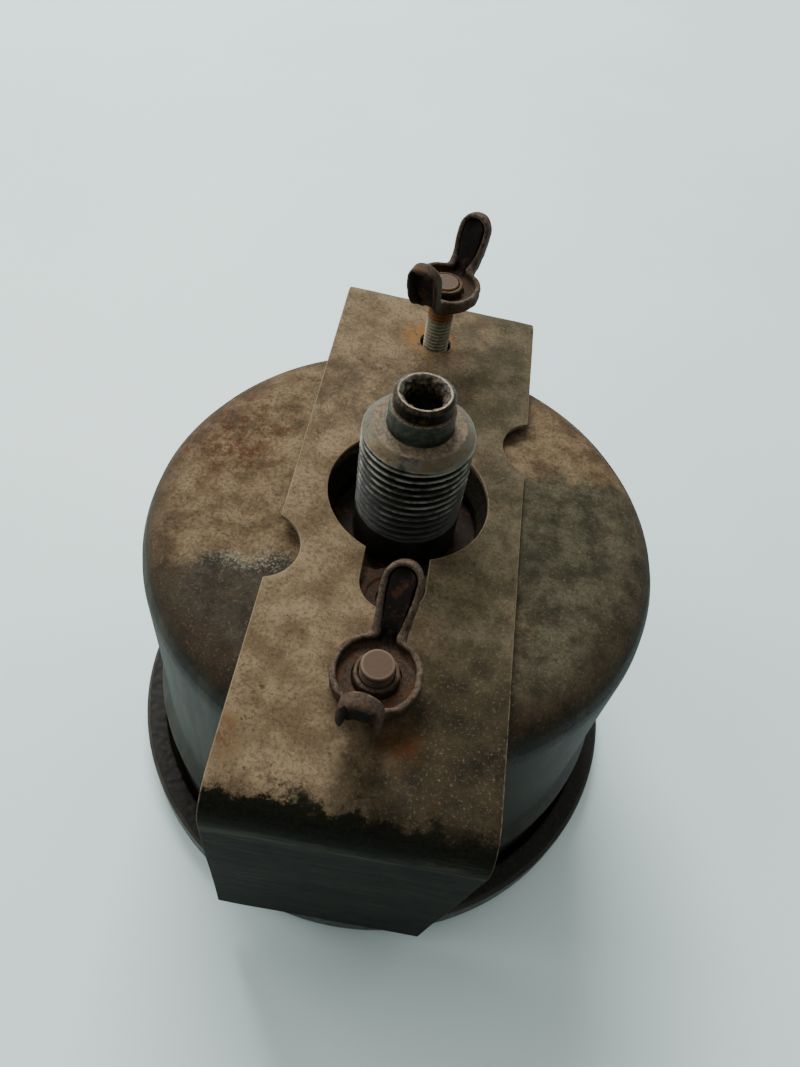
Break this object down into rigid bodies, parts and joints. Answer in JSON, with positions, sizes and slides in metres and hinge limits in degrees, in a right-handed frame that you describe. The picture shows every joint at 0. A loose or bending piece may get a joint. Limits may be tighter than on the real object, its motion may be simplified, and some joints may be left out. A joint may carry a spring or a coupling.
{
  "type": "panel gauge with drive neck and clamp bracket",
  "caption": "Round panel-mount mechanical gauge lying face down: deep-drawn case, threaded drive-cable neck and a U-shaped clamp bracket held by wing nuts.",
  "frame": {"origin": "on the gauge's axis, on the plane of the bezel's front edge, which it rests on", "axes": "+Z along the gauge's axis from the face to the drive neck; Y along the clamp bracket, with its loose wing nut on the +Y side"},
  "size_m": [0.104, 0.1142, 0.0986],
  "materials": {
    "zinc_case": "zinc-plated steel, dulled, dusty and rust-stained",
    "bracket_steel": "plated strip steel under brown dust and grime",
    "rusty_steel": "dark brown rust",
    "neck_zinc": "grey plated steel with dirt in the thread",
    "brass": "tarnished brass",
    "black_rubber": "aged, wrinkled rubber",
    "bezel_black": "worn black paint",
    "glass": "clear",
    "dial_black": "matt black",
    "pointer_white": "matt white",
    "bright_steel": "machined",
    "aluminium": "spun aluminium",
    "magnet_steel": "dark sintered magnet"
  },
  "bodies": {
    "case": {"bezel_ring": "bezel_black", "front_glass": "glass", "glass_seal": "black_rubber", "reflector_ring": "pointer_white", "panel_gasket": "black_rubber", "case": "zinc_case", "drive_neck": "neck_zinc", "neck_washer": "rusty_steel", "neck_nut": "bright_steel", "neck_bush": "brass", "lamp_holder": "rusty_steel", "lamp_bulb": "glass", "stud_near": "rusty_steel", "stud_far": "rusty_steel", "front_plate": "bright_steel", "rear_plate": "bright_steel", "field_cup": "bright_steel", "pillar_left": "bright_steel", "pillar_right": "bright_steel", "dial_screw_left": "bright_steel", "dial_screw_right": "bright_steel", "pointer_stop": "bright_steel", "hairspring": "brass", "hairspring_post": "brass", "dial": "dial_black"},
    "drive": {"drive_spindle": "bright_steel", "drive_magnet": "magnet_steel", "spindle_collar": "brass"},
    "needle": {"pointer_staff": "bright_steel", "speed_cup": "aluminium", "pointer": "pointer_white", "pointer_cap": "bezel_black", "hairspring_collet": "brass"},
    "bracket": {"clamp_bracket": "bracket_steel"},
    "near_nut": {"nut_bush_near": "rusty_steel", "wing_near": "rusty_steel"},
    "far_bush": {"nut_bush_far": "rusty_steel"},
    "far_wing": {"wing_far": "rusty_steel"}
  },
  "joints": [
    {"name": "drive_spin", "type": "hinge", "parent": "case", "child": "drive", "pos_m": [0, 0, 0.07], "axis": [0, 0, 1], "continuous": true},
    {"name": "pointer_turn", "type": "hinge", "parent": "case", "child": "needle", "pos_m": [0, 0, 0.02], "axis": [0, 0, 1], "range_deg": [0, 250], "stiffness_Nm_per_rad": 0.00002},
    {"name": "bracket_lift", "type": "slide", "parent": "case", "child": "bracket", "axis": [0, 0, 1], "range_m": [0, 0.0024]},
    {"name": "near_nut_turn", "type": "hinge", "parent": "bracket", "child": "near_nut", "pos_m": [0, -0.0353, 0.077], "axis": [0, 0, 1], "range_deg": [0, 1081]},
    {"name": "far_nut_rise", "type": "slide", "parent": "case", "child": "far_bush", "axis": [0, 0, 1], "range_m": [-0.0072, 0.0016]},
    {"name": "far_nut_turn", "type": "hinge", "parent": "far_bush", "child": "far_wing", "pos_m": [0, 0.041, 0.0872], "axis": [0, 0, 1], "range_deg": [-3241, 721]}
  ],
  "couplings": [
    {"joint": "near_nut_turn", "follows": "bracket_lift", "rad_per_m": 7854},
    {"joint": "far_nut_turn", "follows": "far_nut_rise", "rad_per_m": 7854}
  ]
}
